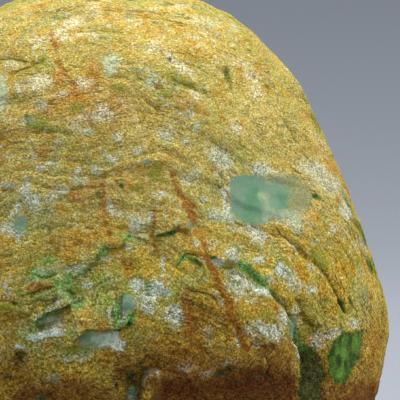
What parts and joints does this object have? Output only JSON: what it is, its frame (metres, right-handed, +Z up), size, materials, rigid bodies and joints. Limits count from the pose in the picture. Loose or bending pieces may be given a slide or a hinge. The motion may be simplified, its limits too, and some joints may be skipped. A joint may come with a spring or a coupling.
{
  "type": "raw jade boulder",
  "caption": "Raw jade boulder: a rounded, weathered ochre block of jadeite with ledges and green windows, resting on a small flat foot.",
  "frame": {"origin": "on the flat foot, under the middle of the stone", "axes": "+Z up from the foot, +X along the stone's length, and -Y out of its best face"},
  "size_m": [0.2183, 0.1788, 0.2011],
  "materials": {
    "jade_skin": "rough sandy ochre skin with olive, white and rust patches and smooth green windows"
  },
  "bodies": {
    "root": {"boulder": "jade_skin"}
  },
  "joints": []
}
